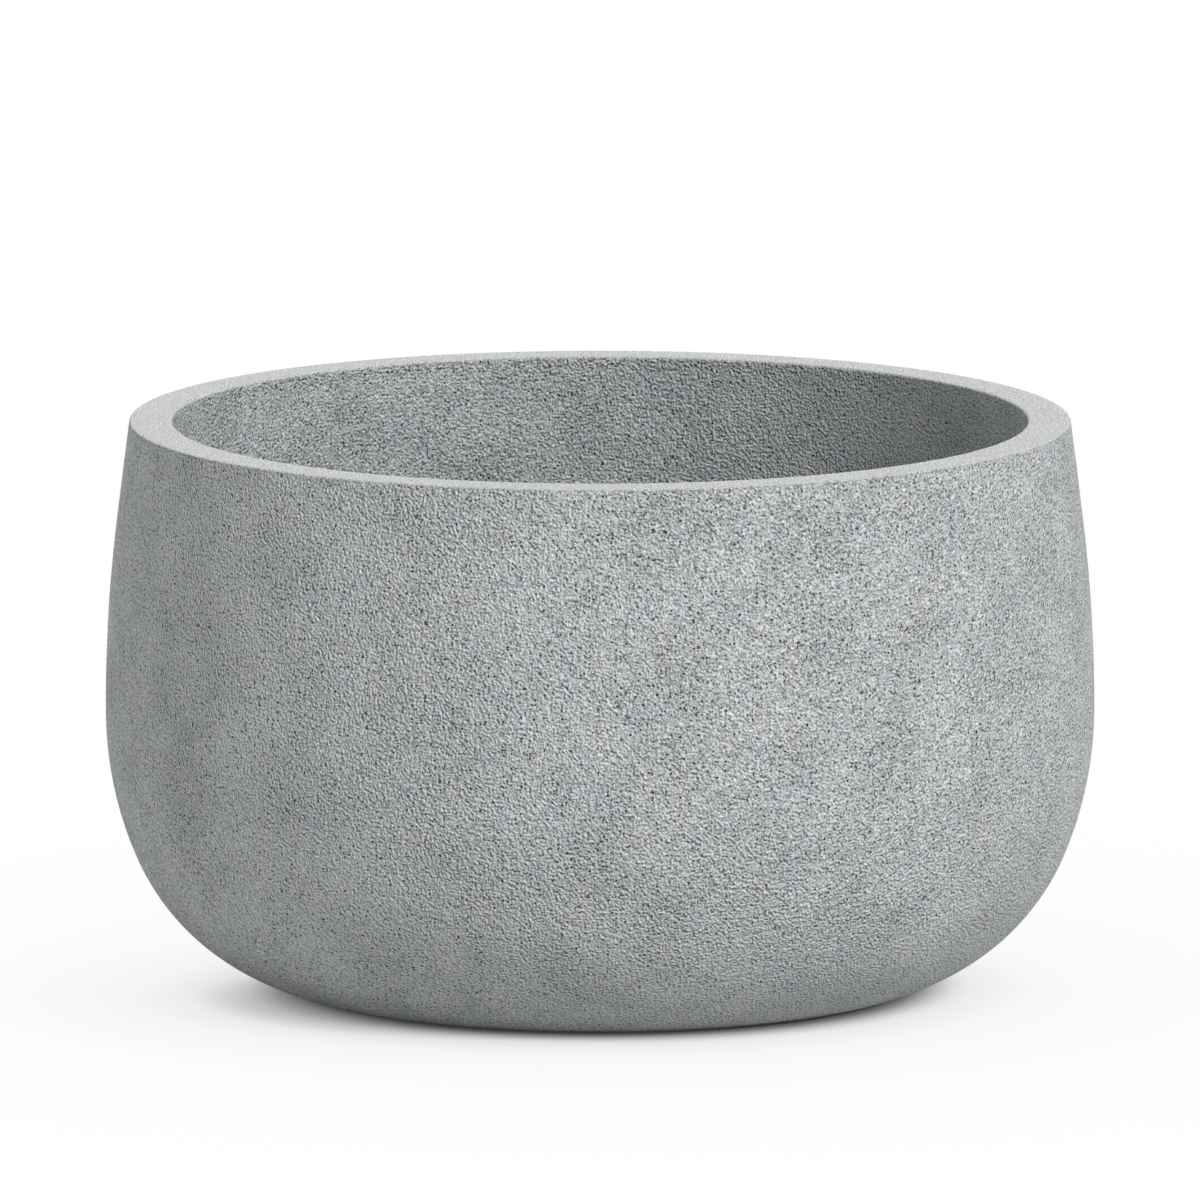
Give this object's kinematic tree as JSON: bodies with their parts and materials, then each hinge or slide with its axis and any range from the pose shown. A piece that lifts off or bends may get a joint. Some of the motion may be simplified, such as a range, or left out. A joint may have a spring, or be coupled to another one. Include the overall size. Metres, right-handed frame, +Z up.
{
  "type": "fibreglass planter",
  "caption": "Round squat floor planter with two moulded fibreglass skins over a foam core, a flat rim, a soft belly, a plugged drain and low rubber feet.",
  "frame": {"origin": "on the floor at the centre of the base, on the planter's axis", "axes": "+Z up along the planter's axis; +X and +Y run midway between neighbouring feet"},
  "size_m": [0.6, 0.6, 0.35],
  "materials": {
    "grained_fibreglass": "matte",
    "rim_fibreglass": "matte",
    "rigid_foam": "matte",
    "drain_plastic": "satin",
    "soft_rubber": "matte"
  },
  "bodies": {
    "planter": {"outer_shell": "grained_fibreglass", "liner_shell": "grained_fibreglass", "rim_ring": "rim_fibreglass", "foam_core": "rigid_foam", "drain_sleeve": "drain_plastic", "drain_gasket": "soft_rubber", "drain_nut": "drain_plastic", "foot_pad_1": "soft_rubber", "foot_pad_2": "soft_rubber", "foot_pad_3": "soft_rubber", "foot_pad_4": "soft_rubber"},
    "plug": {"drain_plug": "soft_rubber"}
  },
  "joints": [
    {"name": "plug_pull", "type": "slide", "parent": "planter", "child": "plug", "axis": [0, 0, 1], "range_m": [0, 0.4]}
  ]
}
